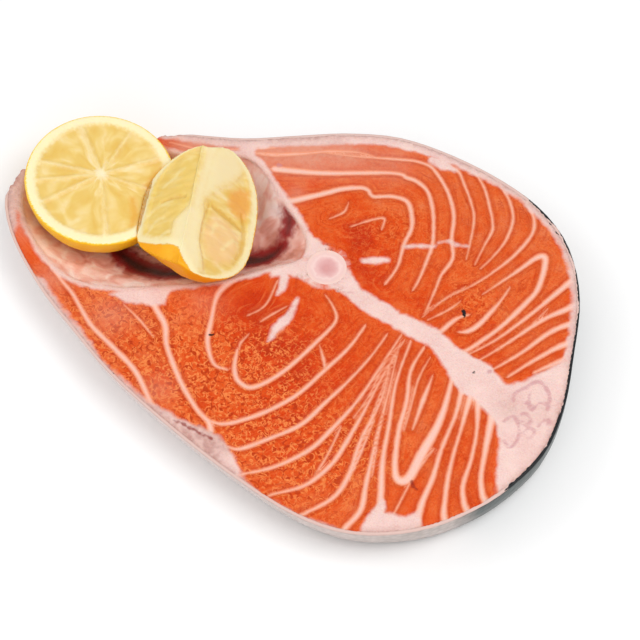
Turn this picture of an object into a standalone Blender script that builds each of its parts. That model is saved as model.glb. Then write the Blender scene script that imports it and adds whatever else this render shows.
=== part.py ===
"""A raw salmon steak, cut straight across the fish, with a half lemon and a lemon wedge in its belly cavity.

Metres, +Z up. +X points from the belly flaps to the back of the fish, and the cut faces lie level.
The origin is under the middle of the whole, on the surface that the steak rests on.
"""
import math
import random

import bpy
import bmesh
from mathutils import Matrix, Vector
from mathutils.geometry import delaunay_2d_cdt

MM = 0.001

# Steak: thickness, and how far the lower cut face is smaller than the upper one and set off from it
THICKNESS = 18 * MM
BASE_SCALE = (0.97, 0.93)
BASE_SHIFT = (1.0 * MM, 1.0 * MM)
WALL_BULGE = 0.8 * MM
WALL_EASE = 1.25
EDGE_ROUND = 0.9 * MM
FOOT_ROUND = 0.4 * MM
EDGE_STEP = 5.2 * MM
# Rings down its side: share of the depth, height, and how far the ring is drawn in
LEVELS = [(0.0, THICKNESS, EDGE_ROUND), (0.05, THICKNESS - EDGE_ROUND, 0), (0.35, THICKNESS * 0.65, 0),
          (0.7, THICKNESS * 0.3, 0), (1.0, 0.0, FOOT_ROUND)]

# Skin: one strip round the back and sides, clear of the flesh and of the table
SKIN = 1.0 * MM
GAP = 0.3 * MM
SKIN_TOP = THICKNESS - 0.5 * MM
SKIN_FOOT = 0.8 * MM
SKIN_ROWS = (0.0, 0.35, 0.7, 1.0)

# Backbone: one vertebra, dished at both ends, through the thickness
BONE_AT = (6.0 * MM, 7.0 * MM)
BONE_RADIUS = 6.6 * MM
BONE_DISH = 1.4 * MM
BONE_LIP = 0.8 * MM
BONE_SIDES = 28

# Flakes: the muscle between two septa stands proud of them
FLAKE_RISE = 0.7 * MM
FLAKE_EDGE = 2.2 * MM
FLAKE_STEP = 4.4 * MM
FLAKE_JITTER = 0.8 * MM
SEPTUM_CLEAR = 1.6 * MM
RIM_CLEAR = 2.2 * MM
SEED = 7

# Upper cut face, in mm: skin side from the tip of one belly flap round the back to the other tip
SKIN_EDGE = [
    (-78, 14), (-64, 23), (-51, 32), (-37, 45), (-23, 57.5), (-6, 68), (18, 74), (42, 75.2), (60, 71),
    (73, 62.5), (84, 50), (94, 32), (102, 16), (107, -1), (106.5, -17), (102, -34), (92, -52), (76, -66.5),
    (57, -73.3), (33, -75.2), (5, -74.8), (-24, -72.3), (-47, -67.3), (-68, -61.8), (-88, -53.5), (-101, -44),
    (-106.5, -35),
]

# Cavity side from that tip back to the first: x, y, and how far the wall's foot runs towards the cavity's middle
CAVITY_EDGE = [
    (-107.5, -29, 0), (-104, -27.5, 1), (-100.5, -33.5, 2), (-96, -40.5, 5), (-87, -47, 12), (-76, -51.5, 18),
    (-61, -53, 21), (-47, -46.4, 23), (-33, -34.4, 23.5), (-17, -17, 15.5), (-8, -3.5, 18), (-2.6, 5, 23), (-7, 13, 21.5),
    (-16, 17, 17), (-28, 21, 15), (-38.5, 25.5, 10), (-47, 25.5, 6), (-55.5, 19.5, 3), (-65, 11.5, 2),
    (-72.5, 8.8, 0), (-78.2, 9.8, 0),
]
CAVITY_MIDDLE = (Vector((-32, -1)) * MM, Vector((-78, -17)) * MM)

# Septa of the upper cut face, in mm: each family fans from its first curve to its last, at the shares given
SEPTUM_FANS = [
    ([(-35, 40), (-17, 50), (1, 62), (10, 64), (23, 57), (33, 44), (39, 32), (41, 22)],
     [(-16, 22), (-9, 27), (-1, 33), (4, 36), (9, 35), (13, 29), (16, 22), (18, 16)], (0, 0.27, 0.6, 1)),
    ([(12, 68), (22, 66), (34, 56), (42, 40)], [(45, 71), (53, 66), (54, 60), (51, 40)], (0, 0.33, 0.67, 1)),
    ([(56, 40), (60, 57), (64, 59), (68, 45), (68, 32), (65, 18)],
     [(66, 11), (69, 20), (72, 29), (74, 38), (74, 45), (74, 52)], (0, 1)),
    ([(74, 16), (78, 33), (83, 47)], [(87, 18), (90, 26), (92, 31)], (0, 0.4, 0.75, 1)),
    ([(-4, -42), (1, -53), (10, -64), (19, -62), (27, -47), (31, -26), (31, -6)],
     [(-9, -27), (-3, -36), (6, -44), (15, -46), (19, -37), (21, -26), (21, -8)], (0, 1)),
    ([(27, -67), (38, -46), (40, -23), (39, -2)], [(48, -71), (55, -52), (51, -28), (45, -6)], (0, 0.5, 1)),
    ([(61, -69), (62, -52), (55, -30), (47, -8)], [(80, -58), (67, -39), (56, -18), (48, -2)], (0, 0.45, 1)),
    ([(91, -49), (84, -35), (77, -18), (73, -8)], [(101, -29), (97, -26), (93, -18), (89, -11)],
     (0, 0.33, 0.67, 1)),
    ([(-69, -56), (-45, -60), (-31, -63), (-11, -69)], [(-31, -42), (-18, -49), (-3, -60), (9, -67)],
     (0, 0.5, 1)),
]
LONE_SEPTA = [
    [(7, -10), (8, -19), (9, -28)],
    [(53, 0), (60, -17), (70, -36), (76, -41), (78, -37), (74, -19), (68, -5)],
]

# Half lemon, cut across its segments: its cut face leans towards the wedge
HALF_RADIUS = 26.8 * MM
HALF_DEPTH = 25.2 * MM
HALF_AT = (-76.6 * MM, -18.6 * MM, 26.0 * MM)
HALF_LEAN = math.radians(7)
HALF_LEAN_TO = math.radians(10)
SEGMENTS = 9
PITH = 3.4 * MM
CORE = 2.2 * MM
PULP_DIP = 0.6 * MM
RIM_FALL = (1.2 * MM, 0.8 * MM)
PEEL_ANGLES = (18, 36, 54, 70, 82)

# Lemon wedge, cut along the fruit: radius, half length, bluntness of its ends, and slopes of its two cut faces
WEDGE_RADIUS = 26.4 * MM
WEDGE_HALF_LENGTH = 27.0 * MM
WEDGE_BLUNT = (3, 0.44)
WEDGE_AT = (-38.1 * MM, -8.4 * MM, 36.8 * MM)
WEDGE_TURN = math.radians(31)
WEDGE_RIDGE = -3.0 * MM
WEDGE_SLOPES = (math.radians(36), math.radians(40))
BEARING_GAP = 0.4 * MM


def clear_scene():
    for thing in list(bpy.data.objects):
        bpy.data.objects.remove(thing)


def collection(name):
    made = bpy.data.collections.new(name)
    bpy.context.scene.collection.children.link(made)
    return made


def material(name, colour, roughness):
    made = bpy.data.materials.new(name)
    made.use_nodes = True
    shader = made.node_tree.nodes["Principled BSDF"]
    shader.inputs["Base Color"].default_value = (*colour, 1)
    shader.inputs["Roughness"].default_value = roughness
    shader.inputs["Metallic"].default_value = 0
    return made


def put(name, shape, finish, group, smooth=40):
    mesh = bpy.data.meshes.new(name)
    shape.to_mesh(mesh)
    shape.free()
    mesh.shade_smooth()
    mesh.set_sharp_from_angle(angle=math.radians(smooth))
    mesh.materials.append(finish)
    thing = bpy.data.objects.new(name, mesh)
    group.objects.link(thing)
    return thing


def spline(points, closed, steps=12):
    """A smooth curve through the points (tuples of any length), as a fine chain of Vectors."""
    rows = [Vector(p) for p in points]
    count = len(rows)
    chain = []
    for i in range(count if closed else count - 1):
        if closed:
            a, b, c, d = (rows[(i + k) % count] for k in (-1, 0, 1, 2))
        else:
            a, b, c, d = (rows[min(max(i + k, 0), count - 1)] for k in (-1, 0, 1, 2))
        for k in range(steps):
            t = k / steps
            chain.append(0.5 * (2 * b + (c - a) * t + (2 * a - 5 * b + 4 * c - d) * t * t
                                + (3 * b - a - 3 * c + d) * t * t * t))
    if not closed:
        chain.append(rows[-1])
    return chain


def even(chain, step, closed):
    """The same curve with its points spaced evenly, about a step apart."""
    points = chain + [chain[0]] if closed else chain
    lengths = [0.0]
    for a, b in zip(points, points[1:]):
        lengths.append(lengths[-1] + (b.xy - a.xy).length)
    count = max(2, round(lengths[-1] / step))
    result = []
    k = 0
    for i in range(count if closed else count + 1):
        at = lengths[-1] * i / count
        while k < len(lengths) - 2 and lengths[k + 1] < at:
            k += 1
        share = (at - lengths[k]) / (lengths[k + 1] - lengths[k])
        result.append(points[k].lerp(points[k + 1], share))
    return result


def steak_rim():
    """The upper rim, evenly spaced: place, outward normal, run of the wall's foot, and whether skin covers it."""
    rows = [(x * MM, y * MM, 0, 1) for x, y in SKIN_EDGE]
    rows += [(x * MM, y * MM, run * MM, 0) for x, y, run in CAVITY_EDGE]
    chain = even(spline(rows, True), EDGE_STEP, True)
    rim = []
    for i, here in enumerate(chain):
        along = chain[(i + 1) % len(chain)].xy - chain[i - 1].xy
        outward = Vector((-along.y, along.x)).normalized()
        rim.append((here.xy, outward, max(here[2], 0), here[3] > 0.5))
    return rim


def wall_point(rim_row, inset, depth, z):
    """A point of the steak's side: inset from the rim, at a share of the depth, at height z."""
    place, outward, run, _ = rim_row
    foot = Vector((place.x * BASE_SCALE[0] + BASE_SHIFT[0], place.y * BASE_SCALE[1] + BASE_SHIFT[1]))
    start, end = CAVITY_MIDDLE
    share = min(max((place - start).dot(end - start) / (end - start).length_squared, 0), 1)
    foot += (start.lerp(end, share) - place).normalized() * run
    share = depth ** WALL_EASE
    at = place.lerp(foot, share) + outward * (WALL_BULGE * math.sin(math.pi * depth) - inset)
    return Vector((at.x, at.y, z))


def inside(point, loop):
    """Whether a point lies inside a closed loop, by counting the edges to its right."""
    odd = False
    for a, b in zip(loop, loop[1:] + loop[:1]):
        if (a.y > point.y) != (b.y > point.y):
            if point.x < a.x + (b.x - a.x) * (point.y - a.y) / (b.y - a.y):
                odd = not odd
    return odd


def gap_to(point, loop):
    """Distance from a point to a chain of points."""
    nearest = 1.0
    for a, b in zip(loop, loop[1:]):
        along = b - a
        share = min(max((point - a).dot(along) / max(along.length_squared, 1e-12), 0), 1)
        nearest = min(nearest, (point - a - along * share).length)
    return nearest


def septa(loop, hole):
    """Every septum as a chain of points on the upper face, kept clear of the rim and the backbone."""
    rows = [[Vector(p) * MM for p in points] for points in LONE_SEPTA]
    for first, last, shares in SEPTUM_FANS:
        rows += [[Vector(a).lerp(Vector(b), share) * MM for a, b in zip(first, last)] for share in shares]
    chains = []
    for row in rows:
        chain = [p for p in even(spline(row, False), FLAKE_STEP, False)
                 if inside(p, loop) and min(gap_to(p, loop + loop[:1]), gap_to(p, hole)) > SEPTUM_CLEAR]
        if len(chain) > 1:
            chains.append(chain)
    return chains


def triangles(points, edges, loop, holes):
    """A triangle net over the points and edges, inside the loop and outside its holes."""
    verts, _, faces, origin, _, _ = delaunay_2d_cdt(points, edges, [], 0, 1e-7)
    kept = []
    for face in faces:
        middle = sum((verts[i] for i in face), Vector((0, 0))) / len(face)
        if inside(middle, loop) and not any(inside(middle, hole) for hole in holes):
            kept.append(face)
    return verts, kept, origin


def ring_edges(start, count):
    return [(start + i, start + (i + 1) % count) for i in range(count)]


def circle(centre, radius, count):
    return [Vector((centre[0] + radius * math.cos(math.tau * i / count),
                    centre[1] + radius * math.sin(math.tau * i / count))) for i in range(count)]


def cut_face(mesh, loop_verts, hole_verts, chains, top):
    """Covers one cut face of the steak between its rim and the backbone's hole, with flakes on the upper one."""
    loop = [v.co.xy for v in loop_verts]
    hole = [v.co.xy for v in hole_verts]
    points = loop + hole
    edges = ring_edges(0, len(loop)) + ring_edges(len(loop), len(hole))
    fixed = list(loop_verts) + list(hole_verts)
    for chain in chains:
        edges += [(len(points) + i, len(points) + i + 1) for i in range(len(chain) - 1)]
        points += chain
    draw = random.Random(SEED)
    if top:
        span = 1 + int(max(p.length for p in loop) / FLAKE_STEP)
        for i in range(-span, span):
            for j in range(-span, span):
                stray = Vector((draw.uniform(-1, 1), draw.uniform(-1, 1))) * FLAKE_JITTER
                spot = Vector((i + 0.5 * (j % 2), j)) * FLAKE_STEP + stray
                if not inside(spot, loop) or inside(spot, hole):
                    continue
                clear = min([gap_to(spot, c) for c in chains] + [gap_to(spot, hole + hole[:1])])
                if clear > SEPTUM_CLEAR and gap_to(spot, loop + loop[:1]) > RIM_CLEAR:
                    points.append(spot)
    verts, faces, origin = triangles(points, edges, loop, [hole])
    made = {}
    used = sorted({i for face in faces for i in face})
    for i in used:
        known = [k for k in origin[i] if k < len(fixed)]
        if known:
            made[i] = fixed[known[0]]
            continue
        clear = min([gap_to(verts[i], c) for c in chains] or [1.0])
        sink = FLAKE_RISE * (1 - min(clear / FLAKE_EDGE, 1)) if top else 0
        height = THICKNESS - sink if top else 0
        made[i] = mesh.verts.new((verts[i].x, verts[i].y, height))
    for face in faces:
        corners = [made[i] for i in face]
        turn = (verts[face[1]] - verts[face[0]]).cross(verts[face[2]] - verts[face[0]])
        if (turn > 0) != top:
            corners.reverse()
        mesh.faces.new(corners)


def bridge(mesh, upper, lower):
    """Quads between two rings of vertices of one length."""
    count = len(upper)
    for i in range(count):
        k = (i + 1) % count
        mesh.faces.new((upper[i], lower[i], lower[k], upper[k]))


def make_flesh(group, finish, rim):
    """The flesh: both cut faces, the sides and the sloping cavity wall, with a hole for the backbone."""
    mesh = bmesh.new()
    rings = []
    for depth, z, draw_in in LEVELS:
        ring = []
        for row in rim:
            inset = draw_in + (SKIN + GAP if row[3] else 0)
            ring.append(mesh.verts.new(wall_point(row, inset, depth, z)))
        rings.append(ring)
    for upper, lower in zip(rings, rings[1:]):
        bridge(mesh, upper, lower)
    hole = circle(BONE_AT, BONE_RADIUS + GAP, BONE_SIDES)
    hole_top = [mesh.verts.new((p.x, p.y, THICKNESS)) for p in hole]
    hole_foot = [mesh.verts.new((p.x, p.y, 0)) for p in hole]
    bridge(mesh, hole_foot, hole_top)
    loop = [v.co.xy for v in rings[0]]
    cut_face(mesh, rings[0], hole_top, septa(loop, hole), True)
    cut_face(mesh, rings[-1], hole_foot, [], False)
    bmesh.ops.recalc_face_normals(mesh, faces=mesh.faces)
    return put("flesh", mesh, finish, group)


def make_skin(group, finish, rim):
    """The skin: a thin strip with square edges, over the part of the rim that it covers."""
    covered = [i for i in range(len(rim)) if rim[i][3]]
    start = next(i for i in covered if not rim[i - 1][3])
    rows = [rim[(start + i) % len(rim)] for i in range(len(covered))]
    mesh = bmesh.new()
    sections = []
    for row in rows:
        outer = []
        inner = []
        for share in SKIN_ROWS:
            z = SKIN_TOP + (SKIN_FOOT - SKIN_TOP) * share
            depth = 1 - z / THICKNESS
            outer.append(mesh.verts.new(wall_point(row, 0, depth, z)))
            inner.append(mesh.verts.new(wall_point(row, SKIN, depth, z)))
        sections.append(outer + inner[::-1])
    for here, after in zip(sections, sections[1:]):
        bridge(mesh, here, after)
    mesh.faces.new(sections[0])
    mesh.faces.new(sections[-1][::-1])
    bmesh.ops.recalc_face_normals(mesh, faces=mesh.faces)
    return put("skin", mesh, finish, group)


def make_backbone(group, finish):
    """One vertebra: a turned profile, dished at both ends, down its outer side."""
    half = THICKNESS / 2
    rim = BONE_RADIUS - BONE_LIP
    profile = [(0, half - BONE_DISH), (rim * 0.5, half - BONE_DISH * 0.7), (rim, half - 0.1 * BONE_LIP),
               (BONE_RADIUS, half - 0.6 * BONE_LIP)]
    profile += [(x, -z) for x, z in reversed(profile)]
    mesh = bmesh.new()
    verts = [mesh.verts.new((x, 0, z)) for x, z in profile]
    for a, b in zip(verts, verts[1:]):
        mesh.edges.new((a, b))
    vertebra = put("backbone", mesh, finish, group)
    vertebra.location = (BONE_AT[0], BONE_AT[1], half)
    turn = vertebra.modifiers.new("turn", "SCREW")
    turn.steps = BONE_SIDES
    turn.render_steps = BONE_SIDES
    turn.use_merge_vertices = True
    turn.merge_threshold = 0.00001
    return vertebra


def half_lemon_mesh(grow=0.0):
    """Half a lemon cut across: a spun profile whose cut face sinks a little inside each segment."""
    radius = HALF_RADIUS + grow
    profile = [(0, grow), (CORE, grow), (CORE + 2 * PULP_DIP, grow), ((CORE + radius - PITH) / 2, grow),
               (radius - PITH - 2 * PULP_DIP, grow), (radius - PITH, grow), (radius - RIM_FALL[0], grow),
               (radius, -RIM_FALL[1])]
    for angle in PEEL_ANGLES:
        turn = math.radians(angle)
        profile.append((radius * math.cos(turn), -(HALF_DEPTH + grow) * math.sin(turn)))
    profile.append((0, -(HALF_DEPTH + grow)))
    mesh = bmesh.new()
    chain = [mesh.verts.new((x, 0, z)) for x, z in profile]
    edges = [mesh.edges.new(pair) for pair in zip(chain, chain[1:])]
    steps = SEGMENTS * 5
    bmesh.ops.spin(mesh, geom=chain + edges, cent=(0, 0, 0), axis=(0, 0, 1), angle=math.tau, steps=steps,
                   use_merge=True)
    bmesh.ops.remove_doubles(mesh, verts=mesh.verts, dist=0.00001)
    bmesh.ops.recalc_face_normals(mesh, faces=mesh.faces)
    if grow:
        return mesh
    for vert in mesh.verts:
        reach = vert.co.xy.length
        if abs(vert.co.z) < 0.01 * MM and CORE + PULP_DIP < reach < radius - PITH - PULP_DIP:
            across = (math.atan2(vert.co.y, vert.co.x) / math.tau * SEGMENTS) % 1
            if min(across, 1 - across) > 0.1:
                vert.co.z -= PULP_DIP
    return mesh


def half_lemon_place():
    return (Matrix.Translation(HALF_AT) @ Matrix.Rotation(HALF_LEAN_TO, 4, "Z")
            @ Matrix.Rotation(HALF_LEAN, 4, "Y"))


def make_wedge(group, cutters, finish):
    """A lemon wedge: an egg-shaped fruit cut by two planes that meet in a ridge, bearing on the half lemon."""
    mesh = bmesh.new()
    bmesh.ops.create_uvsphere(mesh, u_segments=32, v_segments=20, radius=1)
    for vert in mesh.verts:
        reach = max(vert.co.xz.length, 1e-6)
        blunt = WEDGE_RADIUS * (1 - min(abs(vert.co.y), 1) ** WEDGE_BLUNT[0]) ** WEDGE_BLUNT[1] / reach
        vert.co = Vector((vert.co.x * blunt, vert.co.y * WEDGE_HALF_LENGTH, vert.co.z * blunt))
    for side, slope in ((-1, WEDGE_SLOPES[0]), (1, WEDGE_SLOPES[1])):
        outward = Vector((side * math.sin(slope), 0, math.cos(slope)))
        bmesh.ops.bisect_plane(mesh, geom=mesh.verts[:] + mesh.edges[:] + mesh.faces[:], dist=1e-7,
                               plane_co=(WEDGE_RIDGE, 0, 0), plane_no=outward, clear_outer=True)
        bmesh.ops.remove_doubles(mesh, verts=mesh.verts, dist=0.1 * MM)
        bmesh.ops.holes_fill(mesh, edges=[e for e in mesh.edges if e.is_boundary])
    bmesh.ops.recalc_face_normals(mesh, faces=mesh.faces)
    for slope_face in [f for f in mesh.faces if len(f.verts) > 8]:
        bmesh.ops.inset_region(mesh, faces=[slope_face], thickness=PITH, depth=0, use_even_offset=True)
        bmesh.ops.inset_region(mesh, faces=[slope_face], thickness=PULP_DIP, depth=-PULP_DIP)
    bmesh.ops.triangulate(mesh, faces=mesh.faces)
    wedge = put("lemon_wedge", mesh, finish, group, smooth=30)
    wedge.location = WEDGE_AT
    wedge.rotation_euler = (0, 0, WEDGE_TURN)
    cutter = put("half_lemon_clearance", half_lemon_mesh(grow=BEARING_GAP), finish, cutters)
    cutter.matrix_world = half_lemon_place()
    cutter.hide_render = True
    cutter.display_type = "WIRE"
    bearing = wedge.modifiers.new("bearing", "BOOLEAN")
    bearing.operation = "DIFFERENCE"
    bearing.solver = "EXACT"
    bearing.object = cutter
    return wedge


def main():
    clear_scene()
    parts = collection("raw_salmon_steak")
    cutters = collection("cutters")
    rim = steak_rim()
    make_flesh(parts, material("salmon_muscle", (0.80, 0.13, 0.03), 0.35), rim)
    make_skin(parts, material("fish_skin", (0.20, 0.22, 0.22), 0.3), rim)
    make_backbone(parts, material("vertebra_bone", (0.86, 0.60, 0.58), 0.5))
    half = put("lemon_half", half_lemon_mesh(), material("cut_lemon", (0.92, 0.68, 0.20), 0.4), parts)
    half.matrix_world = half_lemon_place()
    make_wedge(parts, cutters, material("lemon_peel", (0.92, 0.58, 0.05), 0.4))


main()
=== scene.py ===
"""The looks of a raw salmon steak with half a lemon and a lemon wedge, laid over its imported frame."""
import math
from functools import partial

import bmesh
import bpy
import numpy as np
from mathutils import Matrix, Vector, noise


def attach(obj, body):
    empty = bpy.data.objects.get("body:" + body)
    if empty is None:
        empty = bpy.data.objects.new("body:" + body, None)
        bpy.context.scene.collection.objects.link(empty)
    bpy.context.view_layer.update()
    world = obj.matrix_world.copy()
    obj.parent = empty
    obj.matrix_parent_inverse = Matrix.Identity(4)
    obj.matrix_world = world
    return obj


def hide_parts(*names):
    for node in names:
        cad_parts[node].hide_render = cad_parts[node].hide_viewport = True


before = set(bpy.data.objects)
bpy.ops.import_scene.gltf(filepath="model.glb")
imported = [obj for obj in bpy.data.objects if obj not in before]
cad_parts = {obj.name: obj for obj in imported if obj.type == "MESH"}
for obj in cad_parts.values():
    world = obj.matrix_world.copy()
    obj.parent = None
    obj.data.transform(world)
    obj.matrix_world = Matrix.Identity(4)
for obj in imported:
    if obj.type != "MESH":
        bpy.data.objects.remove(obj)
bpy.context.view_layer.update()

MM = 0.001
# How a node that mixes two colours is set, and which of its outputs is theirs
RGBA = {"data_type": "RGBA", "out": 2}
# Points nearer than this are one, in metres. A curve has this many pieces between two of its points
SAME = 0.00001
CURVE_STEPS = 5
# How far from a pattern's line its distance is still followed, in mm
FAR = 6.0

# Steak: thickness, how its lower face sits against the upper one, and where the vertebra is, in mm
THICKNESS = 18.0
BASE_SCALE = (0.97, 0.93)
BASE_SHIFT = (1.0, 1.0)
BONE_AT = (6.0, 7.0)
BONE_RADIUS = 6.95

# Lemons, as the solids have them, in mm
HALF_RADIUS, HALF_DEPTH = 26.8, 25.2
HALF_SEAT = (Matrix.Translation((-76.6, -18.6, 26.0)) @ Matrix.Rotation(math.radians(10), 4, "Z")
             @ Matrix.Rotation(math.radians(7), 4, "Y"))
WEDGE_RADIUS, WEDGE_HALF_LENGTH, WEDGE_BLUNT = 26.4, 27.0, (3, 0.44)
WEDGE_AT, WEDGE_TURN, WEDGE_RIDGE, WEDGE_SLOPES = (-38.1, -8.4, 36.8), 31, -3.0, (36, 40)
# How thick the pith is, and how far the lemons stay apart, in mm
PITH, CLEAR = 3.8, 0.4
# How far the foot of the cavity's wall flares inward, and up to what height, in mm
FLARE, FLARE_TOP = 5.0, 6.5
# The flesh's and the lemons' meshes, and how near a septum must be for finer faces, in mm
FLESH_MESH, LEMON_MESH, SEAM_NEAR = 0.86, 0.5, 1.0
# From this height up a point of the flesh is on its upper face, and from this one up off its lower face, in mm
UPPER, OFF_BASE = THICKNESS - 1.2, 0.3
# Relief of the flesh, in mm: how deep a septum lies, how much flakes swell, and the lining's broad and fine unevenness
SEPTUM_DEPTH, FLAKE_SWELL, LINING_SWELL = 0.42, 0.15, (0.6, 0.12)
# Where the flesh meets the skin and the vertebra, in mm: how far its side swells out, how far its rim and the collar
# round the bone lie under the cut face, and how far the wall of the bone's hole is inside the bone
SIDE_SWELL, RIM_DROP, COLLAR_DROP, HOLE_OVERLAP = 0.8, 0.15, 0.1, 0.7
# How high the skin goes in the solids and how much higher here, and how far its ends turn in and down, in mm
SKIN_TOP, SKIN_RISE, END_TURN, END_DROP = 17.5, 0.3, 1.6, 2.0
# Lemons, in mm: how far pulp lies below pith on the half and on the wedge, and how much the wedge's ridge is worn down
HALF_DIP, WEDGE_DIP, RIDGE_WEAR = 0.5, 0.45, 1.4
# The peel's lumps and dimples, as shares of the distance from the middle
LUMPS, DIMPLES = 0.006, 0.004
# Camera: degrees above the ground and round, what it aims at and from how far in metres, and its lens in mm
CAMERA_HEIGHT, CAMERA_TURN, CAMERA_AIM, CAMERA_FROM = 60, 39, (0.01764, -0.01107, 0.018), 0.65
SENSOR, CAMERA_LENS = 36, 106.03125
# The half lemon's face: its core in mm, its membranes by degrees round the core and width in mm, and shaded places
HALF_CORE = (-0.9, 1.8)
HALF_WALLS = [(12, 0.7), (50, 0.9), (91, 0.7), (144, 2.6), (199, 1.1), (219, 0.8), (241, 0.8), (306, 1)]
HALF_SHADES = [
    ((2.6, 3.4, 3), [(15.4, 6.3), (16.1, 10.7), (17, 14.8)]),
    ((2, 2.6, 2), [(13.8, -0.7), (17.5, -5.3), (19.5, -9.9)])]
# The wedge's two faces, laid flat: mm down from the ridge, under 0 on the left one, and mm along it
WEDGE_STREAKS = [
    ((1.2, 1.6, 0.8), [(-18.1, -9.3), (-15.4, -4.9), (-11.8, -4.1)]),
    ((1, 1.6, 0.8), [(-13.2, -14), (-10.1, -11.4), (-5.5, -10.9)]),
    ((0.8, 1.6, 0.6), [(-19.9, -1.9), (-16, 1.3), (-9.5, 2.1)]),
    ((0.8, 1.4, 0.6), [(-15.5, 9.5), (-11, 12.5), (-7, 16)]),
    ((0.8, 1.2, 0.8), [(11.1, -8.3), (12, -4.4), (16.4, -3.8)]),
    ((0.8, 1.2, 0.8), [(16.4, -12.3), (19.9, -7.1), (22.7, -7.4)])]
WEDGE_CREASES = [
    ((0.5, 1.4, 1.4, 0.5), [(9.7, 2.1), (13.5, 1.5), (18.3, 0.6), (23.2, -1.1)]),
    ((0.5, 1.2, 1.2, 0.4), [(21.9, 5.2), (23.9, 0.1), (24.6, -8.1), (22.4, -15.1)]),
    ((0.1, 0.3, 0.3, 0.1), [(8, 2), (6.8, -5.4), (7.3, -13.7), (9.8, -19.1)]),
    ((0.4, 0.9, 0.4), [(-14.5, 3.1), (-8.9, 3.7), (-4.1, 3.2)])]
WEDGE_PEEL = [
    (-32, -10), (-21.6, -12.5), (-13.4, -15.6), (-3.4, -18.2), (1.1, -23.2), (6.6, -28.7), (6.6, -40), (-32, -40)]
WEDGE_CREAM = ((6, 5, 5, 6, 8), [(5, 27), (3.5, 11), (2.4, -0.6), (1.5, -9.8), (1, -20)])
WEDGE_FIELDS = {
    "pith": [[(8.9, 29), (14.7, 27.5), (19.4, 22.2), (16, 15.9), (10.7, 10.4), (6.5, 4.7), (3.6, 1.4), (3.2, 11.5),
     (3.6, 22.3)], [(-1.8, -2.0), (2, 0.5), (5.5, 0.7), (6.8, -5.4), (6.6, -12.4), (8.7, -18), (10.4, -24),
     (5.5, -26), (-0.5, -22), (-3.4, -18.2), (-6.4, -14.2), (-6.6, -7)]],
    "oval": [[(7.2, -7), (10.2, -0.2), (16.6, -0.3), (22.8, -3.9), (24, -9.3), (20.8, -16), (15.2, -19.6),
     (10.3, -17.2), (7.4, -11.9)]],
    "patch": [[(15.2, 11.1), (19, 14.9), (23.1, 15.4), (24.8, 9.3), (23.2, 3.2), (19.6, 3), (15.3, 6)]],
    # the left face, painted golder and darker than the right face as painted shade, being turned from the light
    "left": [[(-0.5, 21), (-14, 22), (-27, 14), (-27, -14), (-3, -24), (-0.5, -7), (1.5, -1), (1.5, 10)]]}

# Upper cut face, in mm: its skin side and its cavity side
SKIN_LINE = [
    (-78, 14), (-64, 23), (-51, 32), (-37, 45), (-23, 57.5), (-6, 68), (18, 74), (42, 75.2), (60, 71), (73, 62.5),
    (84, 50), (94, 32), (102, 16), (107, -1), (106.5, -17), (102, -34), (92, -52), (76, -66.5), (57, -73.3),
    (33, -75.2), (5, -74.8), (-24, -72.3), (-47, -67.3), (-68, -61.8), (-88, -53.5), (-101, -44), (-106.5, -35)]
LIP_LINE = [
    (-104, -27.5), (-100.5, -33.5), (-96, -40.5), (-87, -47), (-76, -51.5), (-61, -53), (-47, -46.4), (-33, -34.4),
    (-17, -17), (-8, -3.5), (-2.6, 5), (-7, 13), (-16, 17), (-28, 21), (-38.5, 25.5), (-47, 25.5), (-55.5, 19.5),
    (-65, 11.5), (-72.5, 8.8)]

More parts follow.
